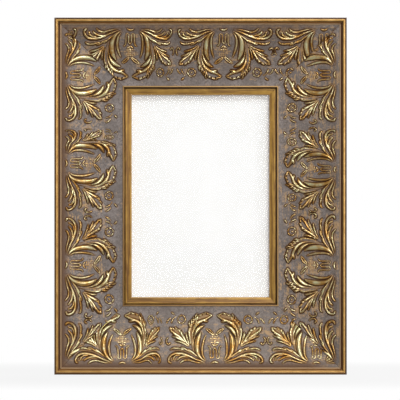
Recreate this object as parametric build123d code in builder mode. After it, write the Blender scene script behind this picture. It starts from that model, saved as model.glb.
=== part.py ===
import os

from build123d import *

# Gilded picture frame for a 15 x 21 cm picture: a mitred moulding with applied leaf ornament,
# a gilt slip, glass, card and backing board, and the hardware that hangs it on a wall.
# It stands on its bottom edge and faces -Y. The origin is under the middle of its box.
# Lengths are in millimetres.

# Sight opening
sight_width = 130.7
sight_height = 192.0

# Widths across the moulding, from the outer edge to the sight edge
bead_width = 3.8
groove_width = 1.6
fillet_width = 1.0
panel_width = 58.2
lip_width = 1.6
shadow_gap = 0.7
slip_face = 6.3

# Heights of the scooped panel above the back, and of the members beside it above the panel
panel_outer = 26.0
panel_middle = 16.4
panel_inner = 13.0
bead_rise = 4.0
fillet_rise = 1.2
groove_depth = 2.2
lip_rise = 1.6
back_chamfer = 1.5

# What the rabbet holds, from the back to the front
rabbet_width = 3.5
board_thickness = 3.0
card_thickness = 1.0
glass_thickness = 2.0
flange_thickness = 3.0
pane_clearance = 0.85
slip_clearance = 0.2
slip_rise = 2.4
slip_edge = 4.2
slip_ease = 0.7

# Leaf ornament
ground_thickness = 1.8
high_relief = 3.2
low_relief = 2.2
panel_flats = 4
leaf_cut = 9.5
fewest_cuts = 2
motif_places = {
    "bottom": (-75.3, 13.2, 110.1),
    "top": (-116.6, -21.6, 67.6, 158.5),
    "left": (-114.5, -31.1, 65.4, 162.6),
    "right": (-165.0, -65.6, 25.3, 114.9),
}

# Turn buttons
button_thickness = 1.2
button_end = 4.6
button_tip = 3.8
button_reach = 15.0
pivot_inset = 7.0
button_play = 0.1
pivot_clearance = 0.08

# Screws of the turn buttons and of the hangers
screw_radius = 1.5
screw_head_radius = 3.2
screw_head_height = 1.8
screw_rim = 0.8
screw_crown = 1.2
screw_sides = 12
button_screw_grip = 8.0
hanger_screw_grip = 10.0

# D-ring hangers
hanger_drop = 90.0
hanger_inset = 30.0
strap_width = 12.0
strap_length = 26.0
strap_thickness = 1.0
strap_corner = 4.0
strap_screw_drop = 20.0
ring_wire = 2.2
wire_sides = 6
ring_width = 15.0
ring_corner = 2.0
eye_clearance = 0.08
eye_lift = 0.05

# Corner nails
nail_inset = 16.0
nail_pitch = 28.0
nail_leg = 6.0
nail_thickness = 0.6
nail_depth = 10.0

# Bumpers
bumper_radius = 5.0
bumper_height = 4.6
bumper_round = 1.0
bumper_inset = 14.0
bumper_side = 30.0

# Places across the moulding
panel_start = bead_width + groove_width + fillet_width
panel_end = panel_start + panel_width
rail_width = panel_end + lip_width
rabbet_wall = rail_width - rabbet_width
slip_start = rail_width + shadow_gap
face_width = slip_start + slip_face

# Heights above the back
fillet_top = panel_outer + fillet_rise
groove_floor = fillet_top - groove_depth
bead_crest = panel_outer + bead_rise
lip_top = panel_inner + lip_rise
card_back = board_thickness
glass_back = card_back + card_thickness
slip_back = glass_back + glass_thickness
ledge = slip_back + flange_thickness

# Overall box, and the back of the moulding in it
width = sight_width + 2 * face_width
height = sight_height + 2 * face_width
back_y = (bead_crest - bumper_height) / 2

os.makedirs("parts", exist_ok=True)


class Side:
    # One side of the frame, with planes at the middle of its outer back edge
    def __init__(self, origin, inward, along, length):
        self.length = length
        self.section = Plane(origin, x_dir=inward, z_dir=along)
        self.face = Plane(origin, x_dir=along, z_dir=(0, -1, 0))
        self.back = Plane(origin, x_dir=inward, z_dir=(0, 1, 0))

    def on_back(self, across, lift=0):
        # A plane on the back of this side, in the middle of its length
        return Plane(self.back.from_local_coords((across, 0, lift)), self.back.x_dir, self.back.z_dir)

    def mitres(self):
        # The planes of its two mitres, with the waste on their upper sides
        inward, along = self.section.x_dir, self.section.z_dir
        far = self.section.from_local_coords((0, 0, self.length / 2))
        near = self.section.from_local_coords((0, 0, -self.length / 2))
        return Plane(far, z_dir=inward + along), Plane(near, z_dir=inward - along)


sides = {
    "bottom": Side((0, back_y, 0), (0, 0, 1), (1, 0, 0), width),
    "top": Side((0, back_y, height), (0, 0, -1), (-1, 0, 0), width),
    "left": Side((-width / 2, back_y, height / 2), (1, 0, 0), (0, 0, -1), height),
    "right": Side((width / 2, back_y, height / 2), (-1, 0, 0), (0, 0, 1), height),
}


def panel_curve(rise):
    # The hollow of the panel, raised or lowered
    middle = (panel_start + panel_end) / 2
    return (
        (panel_start, panel_outer + rise),
        (middle, panel_middle + rise),
        (panel_end, panel_inner + rise),
    )


def panel_band(low, high):
    # The section over the panel from a hollow underside to a face pressed in a few flats
    underside_outer, underside_middle, underside_inner = panel_curve(low)
    with BuildSketch() as band:
        with BuildLine():
            ThreePointArc(underside_outer, underside_middle, underside_inner)
            hollow = ThreePointArc(*panel_curve(high), mode=Mode.PRIVATE)
            flats = [hollow @ (flat / panel_flats) for flat in range(panel_flats + 1)]
            Polyline(underside_outer, *flats, underside_inner)
        make_face()
    return band.sketch


# Section of the moulding
seat_outer, seat_middle, seat_inner = panel_curve(-ground_thickness)
bead_shoulder = bead_crest - bead_width / 2
lip_shoulder = lip_top - lip_width / 2
with BuildSketch() as moulding:
    with BuildLine():
        Polyline(
            (0, bead_shoulder),
            (0, back_chamfer),
            (back_chamfer, 0),
            (rabbet_wall, 0),
            (rabbet_wall, ledge),
            (rail_width, ledge),
            (rail_width, lip_shoulder),
        )
        ThreePointArc(
            (rail_width, lip_shoulder),
            (rail_width - lip_width / 2, lip_top),
            (panel_end, lip_shoulder),
        )
        Line((panel_end, lip_shoulder), seat_inner)
        ThreePointArc(seat_inner, seat_middle, seat_outer)
        Polyline(
            seat_outer,
            (panel_start, fillet_top),
            (panel_start - fillet_width, fillet_top),
            (panel_start - fillet_width, groove_floor),
            (bead_width, groove_floor),
            (bead_width, bead_shoulder),
        )
        ThreePointArc(
            (bead_width, bead_shoulder),
            (bead_width / 2, bead_crest),
            (0, bead_shoulder),
        )
    make_face()

# Section of the slip: a flange under the moulding's lip and a sloped face with eased edges
with BuildSketch() as slip_section:
    with BuildLine():
        Polyline(
            (rabbet_wall + slip_clearance, slip_back),
            (face_width, slip_back),
            (face_width, slip_back + slip_edge - slip_ease),
            (face_width - slip_ease, slip_back + slip_edge),
            (slip_start + slip_ease, ledge + slip_rise),
            (slip_start, ledge + slip_rise - slip_ease),
            (slip_start, ledge),
            (rabbet_wall + slip_clearance, ledge),
            close=True,
        )
    make_face()

# Corner nails: a bent strip driven into the back across each mitre, two to a corner
with BuildPart() as corner_nails:
    for turn_x in (-1, 1):
        for turn_z in (-1, 1):
            corner = Vector(turn_x * width / 2, back_y, height / 2 + turn_z * height / 2)
            nail_plane = Plane(corner, x_dir=(-turn_x, 0, 0), z_dir=(0, -1, 0))
            rise = -turn_z * nail_plane.y_dir.Z
            with BuildSketch(nail_plane):
                for nail in range(2):
                    apex = nail_inset + nail * nail_pitch
                    with BuildLine():
                        Polyline(
                            (apex, rise * apex),
                            (apex + nail_leg, rise * apex),
                            (apex + nail_leg, rise * (apex + nail_thickness)),
                            (apex + nail_thickness, rise * (apex + nail_thickness)),
                            (apex + nail_thickness, rise * (apex + nail_leg)),
                            (apex, rise * (apex + nail_leg)),
                            close=True,
                        )
                    make_face()
            extrude(amount=nail_depth)
corner_nails.part.label = "corner_nails"
export_step(corner_nails.part, "parts/corner_nails.step")

# Places on the back
button_pivot = rabbet_wall - pivot_inset
hanger_z = height - hanger_drop
hanger_places = {"left": -width / 2 + hanger_inset, "right": width / 2 - hanger_inset}
strap_screw_z = hanger_z - strap_screw_drop


def screw(length):
    # A round-head screw in a few flats, with its seat at the origin and its shank down
    with BuildPart() as turned:
        with BuildSketch():
            RegularPolygon(screw_radius, screw_sides)
        extrude(amount=-length)
        with BuildSketch():
            RegularPolygon(screw_head_radius, screw_sides)
        extrude(amount=screw_rim)
        with BuildSketch(Plane.XY.offset(screw_rim)):
            RegularPolygon(screw_head_radius, screw_sides)
        with BuildSketch(Plane.XY.offset(screw_head_height)):
            RegularPolygon(screw_head_radius - screw_crown, screw_sides)
        loft(ruled=True)
    return turned.part


# Screws of the turn buttons, with play under the head so that the buttons turn
button_stack = button_thickness + 2 * button_play
with BuildPart() as turn_button_screws:
    with Locations(*[side.on_back(button_pivot, button_stack) for side in sides.values()]):
        add(screw(button_stack + button_screw_grip))
turn_button_screws.part.label = "turn_button_screws"
export_step(turn_button_screws.part, "parts/turn_button_screws.step")

# Screws of the hangers
with BuildPart() as hanger_screws:
    seats = [
        Plane((hanger_x, back_y + strap_thickness, strap_screw_z), z_dir=(0, 1, 0))
        for hanger_x in hanger_places.values()
    ]
    with Locations(*seats):
        add(screw(strap_thickness + hanger_screw_grip))
hanger_screws.part.label = "hanger_screws"
export_step(hanger_screws.part, "parts/hanger_screws.step")

# Rails and stiles
rail_names = {
    "top": "top_rail",
    "bottom": "bottom_rail",
    "left": "left_stile",
    "right": "right_stile",
}
for side_name, side in sides.items():
    with BuildPart() as rail:
        with BuildSketch(side.section):
            add(moulding.sketch)
        extrude(amount=side.length / 2, both=True)
        for mitre in side.mitres():
            split(bisect_by=mitre, keep=Keep.BOTTOM)
        for fastener in (corner_nails, turn_button_screws, hanger_screws):
            add(fastener.part, mode=Mode.SUBTRACT)
    rail.part.label = rail_names[side_name]
    export_step(rail.part, f"parts/{rail_names[side_name]}.step")

# Slips
for side_name, side in sides.items():
    with BuildPart() as slip:
        with BuildSketch(side.section):
            add(slip_section.sketch)
        extrude(amount=side.length / 2, both=True)
        for mitre in side.mitres():
            split(bisect_by=mitre, keep=Keep.BOTTOM)
    slip.part.label = f"{side_name}_slip"
    export_step(slip.part, f"parts/{side_name}_slip.step")

# Leaves on one half of a motif. Each outline is a closed chain of arcs: corner, middle, corner
# and so on, measured from the motif's axis and from the outer edge of the moulding.
high_leaves = (
    # the fat crescent that cups the middle
    ((9.0, 13.2), (18.9, 28.6), (14.0, 39.0), (14.1, 27.0), (9.0, 13.2)),
    # the lobed leaf that rises outside it and curls over to the axis
    (
        (18.4, 22.0), (20.0, 43.0), (3.6, 56.0), (9.6, 59.8), (15.6, 56.2),
        (20.6, 56.2), (21.4, 50.0), (25.8, 46.4), (23.6, 39.6), (22.4, 30.4), (18.4, 22.0),
    ),
)
low_leaves = (
    # the tip that closes over the crescent
    ((18.6, 38.6), (16.0, 44.8), (9.6, 46.6), (14.4, 43.0), (18.6, 38.6)),
    # the fan leaf to the side
    (
        (22.4, 25.0), (26.0, 34.0), (32.6, 41.6), (38.8, 46.4), (43.8, 42.6),
        (42.6, 36.4), (36.8, 33.6), (29.2, 30.0), (22.4, 25.0),
    ),
    # the plain blade under it
    ((15.6, 16.8), (28.6, 26.4), (42.2, 24.6), (29.8, 22.8), (15.6, 16.8)),
    # the curl along the foot
    ((10.6, 12.7), (30.0, 21.0), (44.4, 12.4), (31.0, 17.4), (10.6, 12.7)),
    # the small leaf of the pair on the axis
    ((0.8, 37.6), (4.0, 42.2), (8.8, 43.0), (5.6, 39.4), (0.8, 37.6)),
)


def motif(leaves):
    # A whole motif from the leaves of its half, with each arc carved in straight cuts of about one length
    with BuildSketch() as whole:
        for outline in leaves:
            with BuildLine():
                chips = []
                for start, middle, end in zip(outline[::2], outline[1::2], outline[2::2]):
                    edge = ThreePointArc(start, middle, end, mode=Mode.PRIVATE)
                    cuts = max(fewest_cuts, round(edge.length / leaf_cut))
                    chips += [edge @ (cut / cuts) for cut in range(cuts)]
                Polyline(*chips, close=True)
            make_face()
        mirror(about=Plane.YZ)
    return whole.sketch


def relief(side, places, leaves, rise):
    # The leaves of one rail, standing to the same height everywhere over the hollow panel
    with BuildPart() as carved:
        with BuildSketch(side.face):
            with Locations(*[(place, 0) for place in places]):
                add(motif(leaves))
        extrude(amount=bead_crest)
        with BuildSketch(side.section):
            add(panel_band(-ground_thickness / 2, rise))
        extrude(amount=side.length / 2, both=True, mode=Mode.INTERSECT)
    return carved.part


for side_name, side in sides.items():
    with BuildPart() as ornament:
        with BuildSketch(side.section):
            add(panel_band(-ground_thickness, 0))
        extrude(amount=side.length / 2, both=True)
        add(relief(side, motif_places[side_name], high_leaves, high_relief))
        add(relief(side, motif_places[side_name], low_leaves, low_relief))
        for mitre in side.mitres():
            split(bisect_by=mitre, keep=Keep.BOTTOM)
    ornament.part.label = f"{side_name}_ornament"
    export_step(ornament.part, f"parts/{side_name}_ornament.step")

# Glass, card and backing board, stacked in the rabbet
pane_width = width - 2 * (rabbet_wall + pane_clearance)
pane_height = height - 2 * (rabbet_wall + pane_clearance)
stack = {
    "backing_board": (0, board_thickness),
    "insert_card": (card_back, card_thickness),
    "glass_pane": (glass_back, glass_thickness),
}
for sheet_name, (sheet_back, thickness) in stack.items():
    with BuildPart() as sheet:
        with BuildSketch(Plane((0, back_y - sheet_back, height / 2), x_dir=(1, 0, 0), z_dir=(0, -1, 0))):
            Rectangle(pane_width, pane_height)
        extrude(amount=thickness)
    sheet.part.label = sheet_name
    export_step(sheet.part, f"parts/{sheet_name}.step")

# Turn buttons: a tapered plate that swings on its screw over the edge of the board
for side_name, side in sides.items():
    with BuildPart() as button:
        with BuildSketch(side.on_back(button_pivot, button_play)):
            Circle(button_end)
            with Locations((pivot_inset + button_reach - button_tip, 0)):
                Circle(button_tip)
            make_hull()
            Circle(screw_radius + pivot_clearance, mode=Mode.SUBTRACT)
        extrude(amount=button_thickness)
    button.part.label = f"turn_button_{side_name}"
    export_step(button.part, f"parts/turn_button_{side_name}.step")


# D-ring hangers: a strap rolled into an eye, and the ring that swings in it
eye_bore = ring_wire / 2 + eye_clearance
eye_outer = eye_bore + strap_thickness
eye_y = back_y + eye_lift + eye_outer
ring_half = (ring_width + ring_wire) / 2
for side_name, hanger_x in hanger_places.items():
    with BuildPart() as strap:
        with BuildSketch(Plane.YZ.offset(hanger_x)):
            with Locations((back_y + strap_thickness / 2, hanger_z - strap_length / 2)):
                Rectangle(strap_thickness, strap_length)
            with Locations((eye_y, hanger_z)):
                Circle(eye_outer)
                Circle(eye_bore, mode=Mode.SUBTRACT)
        extrude(amount=strap_width / 2, both=True)
        fillet(strap.edges().filter_by(Axis.Y).group_by(Axis.Z)[0], radius=strap_corner)
        with Locations(Plane((hanger_x, back_y + strap_thickness, strap_screw_z), z_dir=(0, 1, 0))):
            Hole(screw_radius + pivot_clearance)
    strap.part.label = f"{side_name}_hanger_strap"
    export_step(strap.part, f"parts/{side_name}_hanger_strap.step")

    bar_end = ring_half - ring_corner
    bow_z = hanger_z - ring_corner
    with BuildPart() as ring:
        with BuildSketch(Plane((hanger_x, eye_y, hanger_z), z_dir=(1, 0, 0))):
            RegularPolygon(ring_wire / 2, wire_sides)
        extrude(amount=bar_end, both=True)
        with BuildSketch(Plane((hanger_x + bar_end, eye_y, hanger_z), z_dir=(1, 0, 0))):
            RegularPolygon(ring_wire / 2, wire_sides)
        revolve(axis=Axis((hanger_x + bar_end, eye_y, bow_z), (0, 1, 0)), revolution_arc=90)
        mirror(about=Plane.YZ.offset(hanger_x))
        with BuildSketch(Plane((hanger_x + ring_half, eye_y, bow_z), z_dir=(0, 0, 1))):
            RegularPolygon(ring_wire / 2, wire_sides)
        revolve(axis=Axis((hanger_x, eye_y, bow_z), (0, 1, 0)), revolution_arc=180)
    ring.part.label = f"{side_name}_hanger_ring"
    export_step(ring.part, f"parts/{side_name}_hanger_ring.step")

# Bumpers at the foot of the back
with BuildPart() as wall_bumpers:
    feet = [
        Plane((turn * (width / 2 - bumper_side), back_y, bumper_inset), z_dir=(0, 1, 0))
        for turn in (-1, 1)
    ]
    with Locations(*feet):
        Cylinder(bumper_radius, bumper_height, align=(Align.CENTER, Align.CENTER, Align.MIN))
    chamfer(wall_bumpers.edges().group_by(Axis.Y)[-1], length=bumper_round)
wall_bumpers.part.label = "wall_bumpers"
export_step(wall_bumpers.part, "parts/wall_bumpers.step")

print(f"frame {width:.1f} x {height:.1f} mm, {bead_crest + bumper_height:.1f} mm deep")
print(f"pane {pane_width:.1f} x {pane_height:.1f} mm")
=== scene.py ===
import math
import bpy
import bmesh
import mathutils
import numpy as np
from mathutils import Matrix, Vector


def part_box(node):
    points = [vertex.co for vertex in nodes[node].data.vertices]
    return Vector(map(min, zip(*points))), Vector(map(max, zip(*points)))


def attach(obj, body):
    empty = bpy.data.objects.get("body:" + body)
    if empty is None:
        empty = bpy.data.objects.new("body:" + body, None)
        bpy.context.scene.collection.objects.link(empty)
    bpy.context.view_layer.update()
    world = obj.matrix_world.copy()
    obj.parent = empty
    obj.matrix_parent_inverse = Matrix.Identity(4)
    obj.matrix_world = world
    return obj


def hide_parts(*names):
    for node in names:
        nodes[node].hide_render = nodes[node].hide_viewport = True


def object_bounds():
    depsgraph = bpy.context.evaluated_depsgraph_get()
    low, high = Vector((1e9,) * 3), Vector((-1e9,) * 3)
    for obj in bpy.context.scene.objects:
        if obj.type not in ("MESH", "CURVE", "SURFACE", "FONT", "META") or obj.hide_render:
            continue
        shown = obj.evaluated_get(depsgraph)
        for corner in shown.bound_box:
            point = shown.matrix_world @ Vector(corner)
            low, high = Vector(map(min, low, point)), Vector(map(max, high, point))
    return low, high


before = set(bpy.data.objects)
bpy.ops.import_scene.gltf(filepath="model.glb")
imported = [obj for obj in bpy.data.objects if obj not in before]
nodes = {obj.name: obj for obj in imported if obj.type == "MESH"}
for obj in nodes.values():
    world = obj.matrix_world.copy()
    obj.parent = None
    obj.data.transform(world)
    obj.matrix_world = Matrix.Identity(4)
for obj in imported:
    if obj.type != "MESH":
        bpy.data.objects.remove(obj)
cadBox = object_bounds()
scene = bpy.context.scene
mm = 0.001

# The frame stands on its lower edge with its face to -Y, so every place is found from the mitred outline
outer = {
    "halfWidth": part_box("bottom_rail")[1][0],
    "height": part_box("left_stile")[1][2],
    "back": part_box("bottom_rail")[1][1],
}
middle = outer["height"] / 2
print("frame loaded", [round(v / mm, 1) for v in (outer["halfWidth"] * 2, outer["height"])])


# A colour picked as 0 to 255, in Blender's linear values
def tint(red, green, blue):
    parts = [c / 255 for c in (red, green, blue)]
    return tuple(c / 12.92 if c < 0.04045 else ((c + 0.055) / 1.055) ** 2.4 for c in parts) + (1.0,)


# A value in a shader, which sums like a number
class Wire:
    def __init__(self, socket):
        self.socket = socket

    def sums(self, operation, *values):
        node = self.socket.id_data.nodes.new("ShaderNodeMath")
        node.operation = operation
        for place, value in zip(node.inputs, values):
            plug(place, value)
        return Wire(node.outputs[0])

    # Another output of the same node
    def out(self, name):
        return Wire(self.socket.node.outputs[name])

    def __add__(self, other):
        return self.sums("ADD", self, other)

    def __radd__(self, other):
        return self.sums("ADD", other, self)

    def __sub__(self, other):
        return self.sums("SUBTRACT", self, other)

    def __rsub__(self, other):
        return self.sums("SUBTRACT", other, self)

    def __mul__(self, other):
        return self.sums("MULTIPLY", self, other)

    def __rmul__(self, other):
        return self.sums("MULTIPLY", other, self)

    def __abs__(self):
        return self.sums("ABSOLUTE", self)

    def least(self, other):
        return self.sums("MINIMUM", self, other)

    def most(self, other):
        return self.sums("MAXIMUM", self, other)


def plug(place, value):
    if isinstance(value, Wire):
        place.id_data.links.new(value.socket, place)
    else:
        place.default_value = value


# The Mix node's colour sockets go by number, because their names repeat
mixSockets = {"given": (0, 6, 7), "result": 2}


# The nodes of a material or of the world
class NodeTree:
    def __init__(self, tree):
        self.tree = tree
        tree.nodes.clear()

    # Any node but Math: its settings first, then its sockets
    def node(self, kind, settings={}, values={}):
        made = self.tree.nodes.new(kind)
        for name, setting in settings.items():
            setattr(made, name, setting)
        for name, value in values.items():
            plug(made.inputs[name], value)
        if made.outputs:
            return Wire(made.outputs[0])

    # Two colours, each of them a wire or picked as 0 to 255
    def blend(self, amount, first, second):
        first, second = (tint(*c) if isinstance(c, tuple) else c for c in (first, second))
        values = dict(zip(mixSockets["given"], (amount, first, second)))
        return self.node("ShaderNodeMix", {"data_type": "RGBA"}, values).out(mixSockets["result"])

    # 0 at low and before it, 1 at high and beyond, eased between them
    def step(self, value, low, high):
        ends = {"Value": value, "From Min": low, "From Max": high}
        return self.node("ShaderNodeMapRange", {"interpolation_type": "SMOOTHSTEP"}, ends)

    # 1 between a rising and a falling edge
    def band(self, value, rising, falling):
        return self.step(value, *rising) * (1 - self.step(value, *falling))

    def axes(self, place):
        split = self.node("ShaderNodeSeparateXYZ", {}, {"Vector": place})
        return split.out("X"), split.out("Y"), split.out("Z")

    # 1 to the camera everywhere, and to mirrors and glass in one part
    def seen(self, part):
        rays = self.node("ShaderNodeLightPath")
        mirrored = rays.out("Is Glossy Ray").most(rays.out("Is Transmission Ray"))
        return rays.out("Is Camera Ray").most(mirrored * part)


class Finish(NodeTree):
    def __init__(self, name):
        self.material = bpy.data.materials.new(name)
        self.material.use_nodes = True
        super().__init__(self.material.node_tree)
        self.shader = self.node("ShaderNodeBsdfPrincipled")
        self.place = self.node("ShaderNodeTexCoord").out("Object")

    # Clouds of one size, drawn out along the grain if asked
    def noise(self, scale, detail=3.0, rough=0.55, grain=None):
        place = self.place
        if grain:
            place = self.node("ShaderNodeMapping", {}, {"Vector": place, "Scale": grain})
        values = {"Vector": place, "Scale": scale, "Detail": detail, "Roughness": rough}
        return self.node("ShaderNodeTexNoise", {}, values)

    # A value kept on the mesh
    def mark(self, name):
        return self.node("ShaderNodeAttribute", {"attribute_name": name}).out("Fac")

    def bump(self, height, strength, distance):
        values = {"Height": height, "Strength": strength, "Distance": distance}
        return self.node("ShaderNodeBump", {}, values)

    def sockets(self, **values):
        made = self.shader.socket.node
        for name, value in values.items():
            plug(made.inputs[name.replace("_", " ")], value)

    def show(self, shader):
        self.node("ShaderNodeOutputMaterial", {}, {"Surface": shader})
        return self.material

    def surface(self, **values):
        self.sockets(**values)
        return self.show(self.shader)


# A material on a solid that stays as it is
def dress(node, material):
    slots = nodes[node].data.materials
    if not len(slots):
        slots.append(material)
    for index in range(len(slots)):
        slots[index] = material


# A material on a modelled piece
def clad(piece, material):
    piece.data.materials.clear()
    piece.data.materials.append(material)


def edit(select):
    bpy.ops.object.mode_set(mode="EDIT")
    bpy.ops.mesh.select_all(action=select)


def takeUp(piece):
    bpy.ops.object.select_all(action="DESELECT")
    piece.select_set(True)
    bpy.context.view_layer.objects.active = piece


def addObject(name, data):
    made = bpy.data.objects.new(name, data)
    scene.collection.objects.link(made)
    return made


def copyOf(piece, name):
    return addObject(name, piece.data.copy())


# Easing of edges: gaps in mm, gaps as a share of the bevel's width, and angles
easing = {
    "weld": 0.002,
    "frontBand": 0.05,
    "weldShare": 0.05,
    "sliverShare": 0.02,
    "flat": math.radians(0.5),
    "sharp": math.radians(40),
    "smooth": math.radians(35),
}


# A copy of a solid with its sharp edges eased, and its front set back if asked
def easedCopy(node, name, body, width, segments=2, shorten=0.0):
    piece = copyOf(nodes[node], name)
    takeUp(piece)
    edit("SELECT")
    bpy.ops.mesh.remove_doubles(threshold=easing["weld"] * mm)
    bpy.ops.mesh.dissolve_limited(angle_limit=easing["flat"])
    bpy.ops.object.mode_set(mode="OBJECT")
    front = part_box(node)[0][1] + easing["frontBand"] * mm
    for corner in piece.data.vertices:
        if corner.co.y < front:
            corner.co.y += shorten * mm
    bevel = piece.modifiers.new("easedEdges", "BEVEL")
    bevel.width = width * mm
    bevel.segments = segments
    bevel.limit_method = "ANGLE"
    bevel.angle_limit = easing["sharp"]
    bpy.ops.object.modifier_apply(modifier=bevel.name)
    edit("SELECT")
    bpy.ops.mesh.remove_doubles(threshold=easing["weldShare"] * width * mm)
    bpy.ops.mesh.dissolve_degenerate(threshold=easing["sliverShare"] * width * mm)
    bpy.ops.object.mode_set(mode="OBJECT")
    bpy.ops.object.shade_smooth_by_angle(angle=easing["smooth"])
    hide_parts(node)
    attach(piece, body)
    return piece


# Distance in from the outline in mm, of a point and then of a shaded place
def inwardAt(x, z):
    return min(outer["halfWidth"] - abs(x), z, outer["height"] - z) / mm


def inwardOf(finish):
    x, _, z = finish.axes(finish.place)
    return (outer["halfWidth"] - abs(x)).least(z.least(outer["height"] - z)) * (1 / mm)


# Height off the back in mm, of a shaded place
def heightOf(finish):
    return (outer["back"] - finish.axes(finish.place)[1]) * (1 / mm)


# 0 on the left or lower side, 1 on the right or upper one, by the axis that tells them apart
def farSide(finish, axis):
    centre = (0, 0, middle)[axis]
    soft = 10 * mm
    return finish.step(finish.axes(finish.place)[axis], centre - soft, centre + soft)


# Carved panel, in mm in from the outer edge and off the back, and how gilt and soiled each side is: more gold and
# less soil on the lower side is painted light, more soil above and to the right is painted shade
panel = {
    "start": 6.4,
    "end": 64.6,
    "hollow": ((6.4, 26.0), (35.5, 16.4), (64.6, 13.0)),
    "thickness": 1.8,
    "roll": {"width": 3.4, "drop": 1.5, "power": 1.6},
    "flare": {"width": 8.0, "lift": 0.6, "power": 2},
    "rows": 140,
    "columns": {"top": 540, "bottom": 540, "left": 640, "right": 640},
    "smooth": math.radians(75),
    "edgeFade": 1.5,
    "mitreDirt": {"width": 0.5, "share": 0.7},
    "leafBody": {"rise": 0.9, "from": 0.2},
    "hollowGilt": {"top": 0.16, "bottom": 0.36, "left": 0.16, "right": 0.18},
    "giltGain": {"top": 1.0, "bottom": 1.6, "left": 1.0, "right": 1.0},
    "soilAndShade": {"top": 1.0, "bottom": 0.75, "left": 0.88, "right": 0.95},
}

# Leaf places along each side from its middle, with the reach of the half before and the half after, in mm
leafPlaces = {
    "bottom": ((-74.4, 44.6, 36.3), (13.5, 44.2, 45.6), (110.1, 44.1, 45.0)),
    "top": ((-117.3, 45.0, 45.2), (-22.0, 45.0, 43.2), (66.8, 39.4, 44.0), (158.5, 41.0, 45.0)),
    "left": ((-114.5, 40.0, 43.2), (-31.1, 31.7, 44.2), (65.4, 44.7, 47.4), (163.0, 43.8, 45.0)),
    "right": ((-165.0, 45.0, 46.5), (-65.6, 46.7, 46.8), (25.3, 38.4, 37.5), (114.9, 44.0, 39.0)),
}

# This leaf is narrower all over, where the others are narrowed only beyond the hinge
evenLeaf = ("right", 2)

# How the leaf is pressed in: its strokes wander a little in two waves, but not at its axis
pressing = {
    "spill": 8,
    "waveIn": {"size": 0.3, "pace": 0.19, "shift": 2.3},
    "waveAlong": {"size": 0.25, "pace": 0.23, "shift": 1.7},
    "still": 6,
    "inwardShare": 0.6,
}

# Bare patch beside the upper left mitre, where the cut takes the end of the ornament
bareCorner = {
    "side": "left",
    "along": -134.3,
    "inward": 24.0,
    "soft": 1.2,
}

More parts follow.
